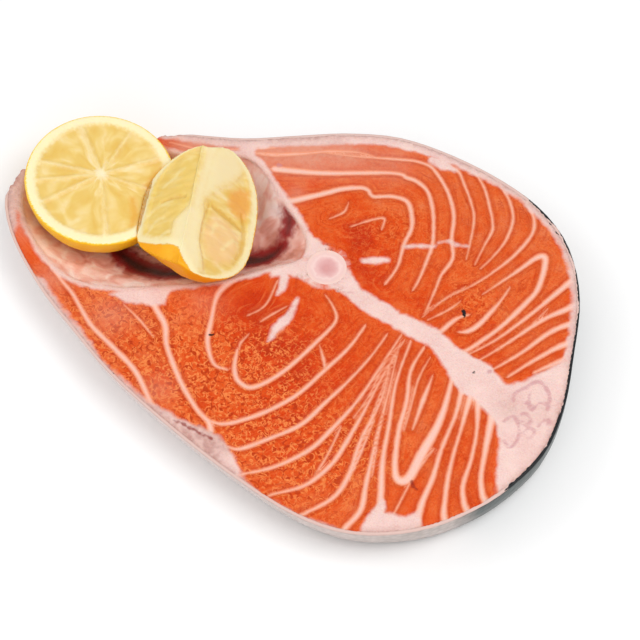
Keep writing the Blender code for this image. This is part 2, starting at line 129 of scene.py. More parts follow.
# Septa, the thin fat sheets between the flakes: widths along each in mm, then its course
SEPTA = [
    # flakes over the backbone
    ((0.5, 1.3, 1.5, 1.6, 1.4, 0.6), [(-27, 44), (-17, 50), (-8, 56), (1, 62), (6, 64), (10, 64), (17, 61), (23, 57),
     (28, 52), (33, 44), (38, 38), (39, 30), (41, 24), (44, 14)]),
    ((3, 1.6, 1.9, 1.5, 1.5, 0.7), [(-35, 28), (-21, 37), (-4, 51), (2, 55), (4, 55), (8, 56), (14, 55), (20, 50),
     (25, 44), (29, 38), (31, 33), (34, 24), (35, 19)]),
    ((2.8, 2.2, 1.6, 1.9, 1.7, 0.9), [(-23, 19), (-15, 30), (-11, 36), (-6, 41), (-3, 42), (0, 41), (5, 45), (10, 47),
     (14, 45), (19, 39), (21, 32), (25, 23), (26, 15)]), ((0.5, 1, 1, 0.5), [(2, 26), (6, 33), (9, 36), (11, 32)]),
    ((0.4, 0.9, 0.4), [(-6, 24), (-4, 29), (-5, 33)]),
    ((1.6, 1.1, 1, 0.4), [(11, 68), (17, 69), (22, 66), (29, 61), (34, 56), (38.7, 47.5), (41.8, 41)]),
    ((1, 1.2, 1.1, 0.4), [(23, 72), (29, 69), (36, 63), (40, 59), (42.1, 55.7), (43.7, 48.4), (45.6, 41)]),
    ((1, 1.2, 1.1, 0.4), [(33, 73), (38, 71), (43, 67), (45.9, 62.7), (48.2, 55.2), (48.6, 47), (48.2, 41)]),
    ((1, 1.3, 1.4, 1, 0.7, 0.5), [(45, 73), (50, 70), (53, 66), (54.2, 60.8), (54.1, 52.2), (53.1, 46), (51.6, 38.7),
     (49.3, 31.5), (46.3, 24.6), (44.4, 15.6)]),
    ((0.5, 1, 1.8, 2.6, 2.4, 2, 1.9, 1.7, 1.4), [(55, 33), (57, 41), (59, 49), (60.5, 56), (62.5, 59), (65, 56),
     (68.5, 47), (68.8, 39.8), (67.6, 26.2), (65, 14.6), (63, 9)]),
    ((0.5, 1.1, 1.6, 2.6), [(64, 7), (69, 20), (72, 33), (74, 45), (76, 58)]),
    ((0.5, 1.3, 2.2, 3.2), [(69, 9), (73, 22), (77, 37), (81, 46), (84, 53)]),
    ((0.7, 1.5, 2.3, 3.4), [(75, 10), (79, 22), (82, 35), (86, 43), (90, 48)]),
    ((0.8, 1.8, 3.2), [(81, 12), (84, 22), (88, 33), (93, 41)]), ((1, 2.6), [(87, 19), (94, 34)]),
    # the fan of fine ones where the flakes meet at the middle
    ((0.4, 0.8, 0.4), [(44.3, 12.5), (45.6, 22), (48.4, 31)]),
    ((0.4, 0.8, 0.4), [(46.5, 12.8), (49.5, 20.4), (50.6, 25.5)]),
    ((1.4, 2, 1.4, 0.6), [(52.4, 7.5), (52.9, 14.3), (53.9, 19.6), (56, 23)]),
    ((0.5, 1.1, 1.8, 2.2, 2, 0.8), [(60.7, 40.7), (61.4, 34.6), (61.4, 27.9), (61.1, 21.6), (59.7, 17.6),
     (57.6, 15.6)]), ((0.4, 0.8, 0.5), [(72, 17), (75, 30), (76, 42)]),
    # flakes under the backbone
    ((4.2, 3.4, 2.4, 1.7, 2, 1.6, 1), [(-13, -9), (-16, -15), (-17, -22), (-16, -27), (-12, -34), (-7, -42), (0, -47),
     (5, -46)]),
    ((1.2, 2, 1.9, 1.8, 1.7, 1.2, 0.4), [(3, -38), (6, -43), (9, -46), (12, -47), (16, -46), (19, -40), (21, -31),
     (22, -18), (22, -8), (18, -4), (13, -2)]), ((0.5, 0.8, 0.4), [(-4, -8), (-1, -18), (-3, -25)]),
    ((0.8, 1.8, 1.7, 1.7, 1.5, 0.8), [(9, -65), (17, -63), (23, -55), (27, -47), (30, -37), (31, -26), (32, -13),
     (31, -3)]), ((0.4, 1.2, 0.5), [(24, -19), (28, -22), (31, -25)]),
    ((0.6, 1.8, 1.6, 1.9, 1.3, 0.9, 0.7), [(24, -68), (28, -66), (33, -57), (38, -46), (39, -35), (40, -23),
     (40, -11), (39, -1)]),
    ((0.8, 1.7, 1.8, 1.1, 0.7), [(34, -73), (41, -64), (46, -52), (47, -41), (47, -27), (45, -12), (43, 2)]),
    ((0.8, 1.8, 1.8, 0.9, 0.5), [(46, -73), (53, -63), (55, -52), (54, -43), (51, -28), (47, -11), (45, 1)]),
    ((0.4, 0.9, 0.5), [(54, -62), (52, -50), (49, -39)]),
    ((1, 1.9, 1.5, 0.8, 0.5), [(58, -73), (63, -61), (62, -51), (57, -38), (53, -22), (47, -9), (45, 1)]),
    ((1.8, 2.2, 1.5, 0.9, 0.6), [(72, -70), (73, -59), (68, -49), (61, -35), (53, -18), (45, -2)]),
    ((3, 2.4, 1.6, 1.3, 0.9), [(83, -62), (74, -49), (67, -39), (61, -28), (53, -14), (47, 2)]),
    ((0.8, 1.5, 1.8, 2.4, 3.4, 3.6, 2.6, 1.6), [(52, 3), (54, -7), (60, -17), (65, -28), (72, -39), (76, -42),
     (78, -39), (76, -30), (74, -19), (71, -10), (67, -1)]), ((0.5, 2, 0.5), [(61, -4), (64, -13), (68, -24)]),
    ((0.4, 0.8, 0.5), [(56, 1), (58, -8), (62, -17), (66, -26)]),
    ((0.3, 0.6, 0.4), [(44, -4), (46, -13), (49, -24), (50, -33)]),
    ((0.3, 0.6, 0.4), [(45, -4), (49, -14), (53, -25), (57, -36), (59, -44)]),
    ((0.3, 0.6, 0.4), [(45, -2), (50, -12), (56, -24), (62, -36), (66, -45)]),
    ((0.4, 0.8, 0.3), [(60, -32), (64, -39), (68, -46)]), ((0.5, 0.9, 0.4), [(3, -37), (2, -35), (2, -31)]),
    ((0.5, 0.9, 0.4), [(2, -24), (3, -20), (5, -14)]),
    ((3.4, 2.2, 1.7, 1.4, 2.2), [(92, -55), (87, -44), (84, -34), (80, -24), (76, -11), (72, -2)]),
    ((2.8, 1.8, 1.5, 1.2, 2.4), [(98, -47), (92, -38), (86, -27), (81, -15), (76, -3)]),
    ((2.4, 1.8, 1.5, 1.4, 2.6), [(101, -38), (94, -31), (90, -21), (85, -11), (78, -1)]),
    ((2.6, 1.8, 3), [(104, -32), (97, -25), (91, -14), (86, -4)]),
    ((0.5, 0.9, 0.5), [(82, -52), (79, -38), (78, -26)]), ((0.6, 1.2, 0.6), [(56, -30), (60, -42), (63, -52)]),
    # belly
    ((1, 1.4, 1.8, 2.2, 1.5), [(-88, -47), (-77, -51), (-64, -55), (-56, -57), (-43, -62), (-30, -64), (-19, -66),
     (-8, -71), (-2, -73)]),
    ((2, 2.6, 2, 2, 1.8, 2.6), [(-33, -41), (-30, -43), (-23, -46), (-18, -51), (-12, -55), (-3, -60), (7, -64),
     (13, -65), (16, -67)]), ((0.4, 1, 0.5), [(-39, -49), (-31, -50), (-23, -52)]),
    ((0.5, 1, 0.8), [(-72, 13), (-61, 18), (-50, 27), (-41, 35)]),
    ((0.8, 1.4, 1, 0.5), [(-45, 29), (-39, 33), (-32, 39), (-24.5, 46.5), (-15.5, 53), (-8, 55.5)]),
    ((0.5, 0.9, 0.6), [(-60, 22), (-50, 31), (-40, 41)]), ((0.5, 1, 0.6), [(-46, 28), (-38, 33), (-27, 44)])]

# Fat under the skin, along the lip and down the middle: widths in mm, then the course
FAT = [
    ((5, 8, 9.6, 8.6, 6, 5.6, 6, 5.4), SKIN_LINE[:13]), ((6, 6, 4.5, 2.6), LIP_LINE[:4]),
    ((2.6, 2.6, 2.4, 2.8, 3.8, 3.4, 3, 2.6, 3), LIP_LINE[3:12]), ((3, 3.6, 3.2, 2.4), LIP_LINE[11:]),
    ((7, 6, 4.4, 4.4, 6.4, 7.4, 6.6, 8, 12), [(10, 7), (16, 5.5), (25, 5), (33, 5), (40, 6), (46, 7), (52, 8),
     (61, 6), (68, 5)]), ((3.4, 2.6, 0.8), [(-3.3, -5.1), (-1.3, -8.4), (-0.3, -12.5)]),
    ((0.8, 3, 3.4, 0.6), [(6, -9), (8, -17), (8, -22), (9, -29)]),
    ((2, 2.6, 2), [(14.5, 17.3), (17.4, 20.1), (20.6, 22.7)]), ((3, 4.6, 1.6), [(7, 67), (11, 67.5), (16, 68.5)]),
    ((0.6, 1.3, 0.6), [(21.7, 31), (26, 34.7), (29.9, 37.7)]),
    ((0.5, 1.3, 1, 0.4), [(30.6, 40.3), (32.8, 42.7), (35.2, 43), (39.2, 45.2)])]
FAT_FIELDS = [
    # over the fin's root, at the back
    [(61, 6), (65, 10), (74, 12), (78, 10), (82, 9), (86, 13), (88, 19), (90, 23), (92, 28), (93, 36), (115, 36),
     (115, -26), (103, -25), (97, -16), (93, -9), (87, -4), (81, -3), (77, -2), (73, -3), (69, -2), (65, 0)],
    # under the skin of the lower side
    [(-115, -30), (-103, -31), (-99, -40), (-92, -47), (-87, -53.5), (-80, -57), (-72, -59), (-66, -59.5),
     (-57, -62.5), (-42, -66), (-28, -70), (-10, -71.6), (-3, -71.2), (5, -70.2), (13, -68.2), (19, -66.8), (27, -69),
     (34, -72.5), (45, -74), (56, -72), (62, -70.5), (73, -67), (80, -62.5), (87, -58), (94, -50), (99, -41),
     (103, -30), (103, -25), (115, -20), (115, -90), (-115, -90)],
    # where two septa end at the rim, round a tongue of muscle
    [(77, -67), (76.2, -58), (75.7, -50.4), (77.5, -51), (79.6, -54), (82.7, -52.4), (85.4, -51), (87.5, -46.3),
     (91.5, -50), (90, -58), (80, -67)],
    # round the vertebra
    [(-9, -6.5), (-4.9, 0.9), (-2.1, 5.5), (-4.1, 9.2), (-7.8, 12.5), (-5.8, 14.1), (0.9, 14), (6.7, 14.9),
     (11.1, 13), (15, 10.1), (21.4, 7.7), (28.6, 8.3), (36.9, 9.1), (41.5, 3.2), (33.6, 1.9), (26.5, 1.3), (20.8, 2),
     (16.3, 2.8), (11.5, 0.4), (8.6, -1.4), (4.7, -2.2), (0.5, -2.6), (-2.3, -3.9), (-6.8, -8.7)],
    # where the upper flap's lip runs up to its rim
    [(-54, 34), (-51.5, 27.5), (-48, 24), (-41, 22), (-38, 25), (-42.5, 26.5), (-45, 29), (-46, 34)],
    # where the belly's fat gathers at the lip
    [(-46, -49), (-42, -43), (-36, -38), (-31, -34), (-28, -40), (-31, -43), (-35, -45), (-40, -48)]]

# Traces of vessels in the fat at the back, and small dark specks on the cut: widths, then the course
SWIRLS = [
    ((0.9, 1.3, 1), [(87.7, 5.9), (86.8, 8.4), (87.9, 11.7), (89, 15.1), (90.9, 17.1), (94.4, 16.2), (97.2, 13.6),
     (98.8, 10)]),
    ((0.8, 1.1, 0.8), [(91.7, 7.5), (90.7, 10.7), (93.3, 7.2), (94.9, 6.9), (95.1, 10.3), (97.2, 11.2)]),
    ((0.8, 1.1, 0.8), [(92.9, 2.9), (93.9, 4.4), (96.6, 3.5), (96.8, 0.4), (94.8, 1.2)]),
    ((0.7, 1, 0.7), [(97.4, -1.5), (98, 0.6), (100, 0.6), (100.6, -2.1), (99, -2.6), (97.4, -1.5)]),
    ((0.8, 1.1, 0.8), [(90.1, -2.6), (91.1, 0.6), (93.9, -0.3), (96.5, -3), (97.8, -6.7), (97.2, -9.6),
     (94.5, -8.6)]), ((0.7, 1, 0.7), [(100.2, 3.2), (100, 5.4), (101.4, 7.3), (102.4, 4.9)]),
    ((1.2, 1.2), [(75, 9.6), (75.3, 9.9)]), ((1.4, 1), [(-35, 30), (-34.4, 30.4)]), ((0.4, 0.6), [(17, 3), (20, 5)]),
    ((1.2, 1.2), [(62, -71), (63, -71)])]
SPECKS = [
    ((0.9, 0.7), [(-8.6, -39.4), (-7.2, -38.6)]), ((1.1, 0.7), [(-24.5, -71.8), (-23.5, -71)]),
    ((0.9, 1.2, 0.6), [(53.2, 23.4), (54.6, 22.4), (56, 20.8)]), ((0.9, 0.9), [(71, 6), (71.2, 6.1)]),
    ((1.8, 1, 1.6, 1.2), [(56.4, 71.2), (58.6, 70.9), (60.4, 69.4), (62.4, 69.2)])]
# Bruised lines, dark red
SCARS = [
    ((0.5, 1, 0.7, 0.5), [(3.5, -71.8), (7.6, -70.9), (13.2, -70.2), (16.5, -69.4), (19.5, -68.9)]),
    ((0.7, 1.1, 0.7), [(79.5, -39.6), (81, -40.8), (82.5, -41.2)])]
# Deeper and paler muscle: how deep it is, radius in mm, and where
TONES = [
    (1, 13, -2, -22), (0.8, 15, 14, -30), (1.2, 6, 6, 25), (0.7, 12, 12, 24), (0.5, 18, 30, -20),
    (0.5, 20, 34, -45), (0.6, 9, 22, 14), (0.4, 14, 60, 12), (-0.5, 26, 10, 66), (-0.5, 20, 48, 64),
    (-0.4, 22, 80, 48), (-0.6, 16, -30, -44), (-0.5, 20, -60, -58), (-0.8, 20, -52, 26),
    (-0.4, 12, 72, -56), (-0.5, 12, 70, -14)]
# Where a pinkish film lies over the muscle, and where the fat is stained: how much, radius in mm, and where
VEILS = [
    (0.9, 9, -43, 31), (1.1, 9, -31, 40), (0.9, 9, -19, 49), (0.5, 9, -4, 57), (1.1, 11, -64, 20),
    (0.5, 6, -66, -57), (0.9, 10, -97, -37), (0.5, 6, -60, 22), (0.5, 5, -86, -47), (0.4, 7, -40, -55),
    (0.3, 6, -8, -66), (0.5, 4, -22, 24), (0.3, 7, -18, -30)]
STAINS = [
    (0.7, 7, 12, -71), (0.7, 6, 21, -70), (0.5, 6, -2, -74), (0.6, 9, -103, -32), (0.5, 9, -92, -44),
    (0.2, 8, -40, 39), (0.3, 8, -28, 49), (0.35, 5, 88, 2), (0.3, 5, 97, 8)]
# Where the ends of the fibres show most: how strongly, radius in mm, and where
GRAIN = [
    (0.75, 24, -20, -56), (0.4, 18, -50, -60), (-0.3, 12, -84, -50), (0.9, 22, 24, -58), (0.8, 20, 8, -38),
    (0.6, 16, 52, -58), (0.5, 14, 60, -40), (0.4, 12, 56, 28), (0.3, 12, 14, 34), (-0.7, 12, -4, -20),
    (-0.4, 10, 88, -54)]
# The skin by its points: how dark it is, and how deep in mm its black edge goes
BACK_SHARE = [
    (0, 0), (4, 0.1), (7, 0.35), (9.5, 0.8), (11, 1), (14.6, 1), (15.6, 0.45), (17, 0.3), (20, 0.12), (26, 0)]
INK_DEPTH = [
    (0, -2), (6.6, -2), (7, 0.35), (9, 0.4), (10.3, 0.8), (11, 1.2), (14.2, 1), (14.5, -0.6), (15.5, -2), (26, -2)]
# Blood and kidney left in the end of the cavity, and under the lemons blood with painted shadow, near black, over the
# wall's flared foot: widths, then the course on the walls
KIDNEY_BLOOD_AND_SHADOW = [
    ((12, 10, 8, 5), [(-27, -4), (-20, 0), (-17, 4), (-15.5, 8)]),
    ((3, 5, 6, 5), [(-22.6, 18.9), (-19.9, 17.3), (-17.6, 15.2), (-16.2, 12.2)]),
    ((6, 9, 10, 9, 8), [(-66, -27), (-57, -29), (-48, -29), (-39, -26), (-30, -14)])]
# Where the lining is browner, or paler: how much, radius in mm, and where
DUSK = [
    (0.22, 6, -8, 8), (-0.14, 12, -26, 18), (-0.14, 12, -40, 22), (-0.1, 16, -78, -42),
    (-0.1, 10, -58, -42)]
# The flaps' tips, where the wall has no foot
TIPS = [(1.2, 8, -104, -30), (1.2, 8, -75, 11)]
# Where the foot of the wall reaches furthest in, into the shade under the lemons, where it is painted dark as shadow:
# how much more, radius in mm, and where
FOOT = [(1, 12, -62, -32)]


def linear(code):
    """An sRGB hex colour as linear RGBA."""
    parts = [int(code[i:i + 2], 16) / 255 for i in (0, 2, 4)]
    return (*(c / 12.92 if c <= 0.04045 else ((c + 0.055) / 1.055) ** 2.4 for c in parts), 1)


def fill(tree, node, inputs):
    """Sets a node's inputs, in order or by name or number: values, sRGB hex colours, or sockets to link."""
    for key, value in inputs.items() if isinstance(inputs, dict) else enumerate(inputs):
        if isinstance(value, bpy.types.NodeSocket):
            tree.links.new(value, node.inputs[key])
        else:
            node.inputs[key].default_value = linear(value) if isinstance(value, str) else value


def add_node(tree, kind, inputs=(), operation=None, out=0, stops=(), **settings):
    """Adds a node with its settings, inputs and colour stops, and gives the output asked for. A range's inputs are its
    value, from, from, to and to."""
    made = tree.nodes.new("ShaderNode" + kind)
    if operation:
        made.operation = operation
    for key, value in settings.items():
        setattr(made, key, value)
    fill(tree, made, inputs)
    if stops:
        ends = made.color_ramp.elements
        (ends[0].position, first), (ends[1].position, last) = stops[0], stops[-1]
        ends[0].color, ends[1].color = linear(first), linear(last)
        for at, code in stops[1:-1]:
            ends.new(at).color = linear(code)
    return made.outputs[out]


def start_material(name):
    """A new material, its functions to add nodes and to fill the shader, and Object coordinates in mm."""
    made = bpy.data.materials.new(name)
    made.use_nodes = True
    add = partial(add_node, made.node_tree)
    place = add("TexCoord", out="Object")
    in_mm = add("VectorMath", {0: place, "Scale": 1 / MM}, "SCALE")
    return made, add, partial(fill, made.node_tree, made.node_tree.nodes["Principled BSDF"]), in_mm


def smooth_curve(points, steps=CURVE_STEPS):
    """A Catmull-Rom curve through the points, as rows of an array."""
    rows = np.array(points, float)
    padded = np.vstack([rows[0], rows, rows[-1]])
    chain = []
    for a, b, c, d in zip(padded, padded[1:], padded[2:], padded[3:]):
        for t in np.arange(steps) / steps:
            chain.append(0.5 * (2 * b + (c - a) * t + (2 * a - 5 * b + 4 * c - d) * t ** 2
                                + (3 * b - a - 3 * c + d) * t ** 3))
    return np.array(chain + [rows[-1]])


def stroke_field(places, strokes, reach=FAR):
    """For each place, in mm: how far it is from the nearest stroke's edge, under 0 inside it, how far from its middle,
    under 0 on its right side, and half its width there."""
    gap, side, width = np.full(len(places), reach), np.full(len(places), reach), np.zeros(len(places))
    for widths, points in strokes:
        chain = smooth_curve(points)
        along = np.linspace(0, 1, len(chain))
        half = np.interp(along, np.linspace(0, 1, len(widths)), widths) / 2
        margin = reach + half.max()
        near = np.where(((places > chain.min(0) - margin) & (places < chain.max(0) + margin)).all(1))[0]
        spots = places[near]
        for a, b, at_a, at_b in zip(chain, chain[1:], half, half[1:]):
            step = b - a
            share = np.clip((spots - a) @ step / max(step @ step, 1e-9), 0, 1)
            offset = spots - a - share[:, None] * step
            away = np.linalg.norm(offset, axis=1)
            here = at_a + (at_b - at_a) * share
            closer = away - here < gap[near]
            chosen = near[closer]
            gap[chosen] = (away - here)[closer]
            side[chosen] = (away * np.sign(step[0] * offset[:, 1] - step[1] * offset[:, 0]))[closer]
            width[chosen] = here[closer]
    return gap, side, width


def stroke_gap(places, strokes, reach=FAR):
    """How far each place is from the edge of the nearest stroke, in mm: under 0 inside it."""
    return stroke_field(places, strokes, reach)[0]


def field_gap(places, outline):
    """How far each place is from a closed outline, in mm: under 0 inside it."""
    chain = np.array(outline + outline[:1], float)
    inside = np.zeros(len(places), bool)
    for a, b in zip(chain, chain[1:]):
        if a[1] != b[1]:
            crosses = (a[1] > places[:, 1]) != (b[1] > places[:, 1])
            inside ^= crosses & (places[:, 0] < a[0] + (b[0] - a[0]) * (places[:, 1] - a[1]) / (b[1] - a[1]))
    away = np.full(len(places), FAR)
    for a, b in zip(chain, chain[1:]):
        step = b - a
        share = np.clip((places - a) @ step / (step @ step), 0, 1)
        away = np.minimum(away, np.linalg.norm(places - a - share[:, None] * step, axis=1))
    return np.where(inside, -away, away)


def ease(values, low, high):
    """From 0 at low to 1 at high, smoothly."""
    share = np.clip((values - low) / (high - low), 0, 1)
    return share * share * (3 - 2 * share)


def rough(rows, size, seed=0.0):
    """Smooth noise from -1 to 1 at each row of places, in mm, with bumps about size across."""
    return np.array([noise.noise(Vector(row) / size + Vector((seed, seed, seed))) for row in rows])


def store(mesh, **columns):
    """Keeps a number for each point under each name."""
    for name, values in columns.items():
        mesh.attributes.new(name, "FLOAT", "POINT").data.foreach_set("value", np.asarray(values, np.float32))


def places_of(mesh):
    rows = np.empty(len(mesh.vertices) * 3)
    mesh.vertices.foreach_get("co", rows)
    return rows.reshape(-1, 3) / MM


def laid(rows, seat):
    """Rows of places taken from a piece's own axes to where it lies, all in mm."""
    return rows @ np.array(seat.to_3x3()).T + np.array(seat.translation)


def dimpled(rows):
    """How much further out the peel is at each place, for its lumps and dimples."""
    return (1 + LUMPS * rough(rows, 6, 1) + DIMPLES * rough(rows, 1.7, 4))[:, None]


def spun(outline, steps):
    """A closed bmesh turned round Z from half its outline, in mm."""
    shape = bmesh.new()
    chain = [shape.verts.new((x * MM, 0, z * MM)) for x, z in outline]
    edges = [shape.edges.new(pair) for pair in zip(chain, chain[1:])]
    bmesh.ops.spin(shape, geom=chain + edges, cent=(0, 0, 0), axis=(0, 0, 1), angle=math.tau, steps=steps,
                   use_merge=True)
    bmesh.ops.remove_doubles(shape, verts=shape.verts, dist=SAME)
    bmesh.ops.recalc_face_normals(shape, faces=shape.faces)
    return shape


def set_places(mesh, rows):
    mesh.vertices.foreach_set("co", (rows * MM).ravel())
    mesh.update()


def piece(name, shape, finish, node):
    """Puts a finished bmesh or mesh in the scene, in place of a CAD node."""
    mesh = shape
    if isinstance(shape, bmesh.types.BMesh):
        mesh = bpy.data.meshes.new(name)
        shape.to_mesh(mesh)
        shape.free()
    mesh.shade_smooth()
    mesh.materials.clear()
    mesh.materials.append(finish)
    thing = bpy.data.objects.new(name, mesh)
    bpy.context.scene.collection.objects.link(thing)
    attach(thing, "root")
    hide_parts(node)
    return thing


def even_mesh(shape, size, levels=1):
    """The bmesh, smoothed and remade in even faces of a given size in mm."""
    rough_mesh = bpy.data.meshes.new("rough")
    shape.to_mesh(rough_mesh)
    shape.free()
    thing = bpy.data.objects.new("rough", rough_mesh)
    bpy.context.scene.collection.objects.link(thing)
    if levels:
        smooth = thing.modifiers.new("smooth", "SUBSURF")
        smooth.levels = smooth.render_levels = levels
    remesh = thing.modifiers.new("even", "REMESH")
    remesh.mode = "VOXEL"
    remesh.voxel_size = size * MM
    depsgraph = bpy.context.evaluated_depsgraph_get()
    mesh = bpy.data.meshes.new_from_object(thing.evaluated_get(depsgraph))
    bpy.data.objects.remove(thing)
    return mesh


def node_copy(name):
    """A merged bmesh copy of a CAD node."""
    shape = bmesh.new()
    shape.from_mesh(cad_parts[name].data)
    bmesh.ops.remove_doubles(shape, verts=shape.verts, dist=SAME)
    return shape


def pattern_places(rows):
    """Where the cut's pattern puts each point: its place on the upper face, in mm."""
    share = np.clip(1 - rows[:, 2:3] / THICKNESS, 0, 1)
    scale = 1 + (np.array(BASE_SCALE) - 1) * share
    return (rows[:, :2] - np.array(BASE_SHIFT) * share) / scale


def line_station(places, points):
    """Which point of a course each place is beside, as a number with a fraction."""
    chain = smooth_curve(points)
    best = np.full(len(places), 1e9)
    station = np.zeros(len(places))
    for index, (a, b) in enumerate(zip(chain, chain[1:])):
        step = b - a
        share = np.clip((places - a) @ step / max(step @ step, 1e-9), 0, 1)
        away = np.linalg.norm(places - a - share[:, None] * step, axis=1)
        near = away < best
        best[near] = away[near]
        station[near] = (index + share[near]) / CURVE_STEPS
    return station


def spread(spots, hills):
    """The sum of soft hills at each spot: height, radius in mm and middle of each."""
    return sum(height * np.exp(-((spots - at) ** 2).sum(1) / radius ** 2) for height, radius, *at in hills)


def refine(mesh):
    """Halves the faces of the upper side where two septa are too close for the mesh."""
    rows = places_of(mesh)
    septum, side, _ = stroke_field(pattern_places(rows), SEPTA)
    shape = bmesh.new()
    shape.from_mesh(mesh)
    chosen = set()
    for edge in shape.edges:
        a, b = (vert.index for vert in edge.verts)
        if min(rows[a, 2], rows[b, 2]) > UPPER and min(septum[a], septum[b]) < SEAM_NEAR:
            if abs(side[a] - side[b]) > 1.3 * edge.calc_length() / MM:
                chosen.update(nearby for face in edge.link_faces for nearby in face.edges)
    bmesh.ops.subdivide_edges(shape, edges=sorted(chosen, key=lambda edge: edge.index), cuts=1, use_grid_fill=True)
    shape.to_mesh(mesh)
    shape.free()
    mesh.update()


def make_flesh(finish):
    """The cut muscle: relief along its septa, and what the finish needs to know at each point."""
    mesh = even_mesh(node_copy("flesh"), FLESH_MESH)
    refine(mesh)
    rows = places_of(mesh)
    spots = pattern_places(rows)
    septum, side, width = stroke_field(spots, SEPTA)
    to_bone = np.linalg.norm(spots - BONE_AT, axis=1) - BONE_RADIUS
    to_skin, to_lip = (stroke_gap(spots, [((0, 0), line)], 8.0) for line in (SKIN_LINE, LIP_LINE))
    fat = np.min([stroke_gap(spots, FAT), to_bone - 1.2] + [field_gap(spots, field) for field in FAT_FIELDS], axis=0)
    low = THICKNESS - rows[:, 2]
    off_rims = ease(to_skin, 2.6, 3.2) * ease(to_bone, 0.2, 0.6)
    lining = ease(low, 1.0, 1.8) * off_rims * (rows[:, 2] > 0.25)
    # relief: septa sink, flakes swell a little, and the walls of the cavity are uneven
    inner = (rows[:, 2] > UPPER) & (to_skin > 1.0) & (to_lip > 1.2)
    valley = SEPTUM_DEPTH * (1 - ease(septum, -0.5, 1.3)) * ease(fat, -1.0, 1.0)
    swell = FLAKE_SWELL * rough(np.column_stack([spots, np.zeros(len(spots))]), 9, 3)
    rows[inner, 2] = THICKNESS - 0.12 + (ease(to_bone, 0.5, 4) * (swell - valley - 0.1))[inner]
    soft = LINING_SWELL[0] * rough(rows * (1, 1, 0.5), 6, 8) + LINING_SWELL[1] * rough(rows, 2.2, 2)
    normals = np.empty(len(rows) * 3)
    mesh.vertices.foreach_get("normal", normals)
    normals = normals.reshape(-1, 3)
    rows += normals * (soft * lining)[:, None]
    # the walls' foot flares inward, under the lemons most and at the flaps' tips not at all
    foot = FLARE * ease(low, 0.4, 1.2) * off_rims * ease(FLARE_TOP - rows[:, 2], 0, FLARE_TOP)
    foot *= (1 + spread(spots, FOOT)) * np.clip(1 - spread(spots, TIPS), 0, 1)
    rows[:, :2] += normals[:, :2] * foot[:, None]
    # the side and the rim swell to meet the skin from inside
    above = rows[:, 2] > OFF_BASE
    level = np.linalg.norm(normals[:, :2], axis=1)
    station = line_station(spots, SKIN_LINE)
    beside = (to_skin < 3.0) & above & (level > 0.15) & (station > 0.4) & (station < 25.6)
    out = (SIDE_SWELL * ease(level, 0.15, 0.5) / np.maximum(level, 0.15))[beside, None]
    rows[beside, :2] += out * normals[beside, :2]
    rows[(to_skin < 2.2) & (rows[:, 2] > THICKNESS - 0.75), 2] = THICKNESS - RIM_DROP
    # the hole closes on the vertebra: its wall inside the bone, and a level collar round its mouth
    wall = (to_bone < 2.6) & above & (level > 0.75)
    from_bone = rows[wall, :2] - BONE_AT
    rows[wall, :2] = BONE_AT + from_bone * (BONE_RADIUS - HOLE_OVERLAP) / np.linalg.norm(from_bone, axis=1)[:, None]
    round_bone = (to_bone < 1.4) & above & ~wall
    pull = (-0.6 - np.clip(to_bone, 0, 1.4) * 0.2)[round_bone, None]
    from_bone = (rows[:, :2] - BONE_AT)[round_bone]
    rows[round_bone, :2] += pull * from_bone / np.linalg.norm(from_bone, axis=1)[:, None]
    collar = (to_bone < 2.6) & (to_lip > 1.0) & (rows[:, 2] > THICKNESS - 2.6)
    rows[collar, 2] = THICKNESS - COLLAR_DROP
    lining[collar] = 0
    rows[:, 2] = np.clip(rows[:, 2], 0, None)
    set_places(mesh, rows)
    store(mesh, septum=septum, side=side, width=width, fat=fat, lining=lining, low=low,
          swirl=stroke_gap(spots, SWIRLS), speck=stroke_gap(spots, SPECKS), scar=stroke_gap(spots, SCARS),
          kidney=stroke_gap(rows[:, :2], KIDNEY_BLOOD_AND_SHADOW), dusk=spread(rows[:, :2], DUSK), tone=spread(spots, TONES),
          veil=spread(spots, VEILS), grain=np.clip(0.22 + spread(spots, GRAIN), 0, 1),
          rim=np.clip(1 - ease(to_skin, 0.4, 3.4) + spread(spots, STAINS), 0, 1))
    return piece("salmon_flesh", mesh, finish, "flesh")


def make_skin(finish):
    """The skin: the CAD strip, smoothed, with how dark it is and how deep its black edge goes."""
    shape = node_copy("skin")
    bmesh.ops.subdivide_edges(shape, edges=shape.edges, cuts=2, use_grid_fill=True)
    mesh = bpy.data.meshes.new("salmon_skin")
    shape.to_mesh(mesh)
    shape.free()
    rows = places_of(mesh)
    # level with the flesh, which stands half a millimetre prouder in the solids
    rows[:, 2] += SKIN_RISE * ease(rows[:, 2], 12, SKIN_TOP)
    spots = pattern_places(rows)
    station = line_station(spots, SKIN_LINE)
    low = SKIN_TOP + SKIN_RISE - rows[:, 2]
    inside = 0.45 - field_gap(spots, SKIN_LINE)
    # the strip's two ends turn in to the flaps' tips
    chain = smooth_curve(SKIN_LINE)
    run = np.gradient(chain, axis=0)
    inward = np.column_stack([run[:, 1], -run[:, 0]]) / np.linalg.norm(run, axis=1)[:, None]
    at = np.clip(np.rint(station * CURVE_STEPS).astype(int), 0, len(chain) - 1)
    end = np.clip(ease(station, 25.0, 26.0) + 1 - ease(station, 0, 0.8), 0, 1)
    rows[:, :2] += inward[at] * (END_TURN * end)[:, None]
    rows[:, 2] -= END_DROP * end * rows[:, 2] / SKIN_TOP
    set_places(mesh, rows)
    store(mesh, back=np.interp(station, *zip(*BACK_SHARE)), low=low + 0.3 * inside,
          ink=np.interp(station, *zip(*INK_DEPTH)) - low - inside)
    return piece("salmon_skin", mesh, finish, "skin")


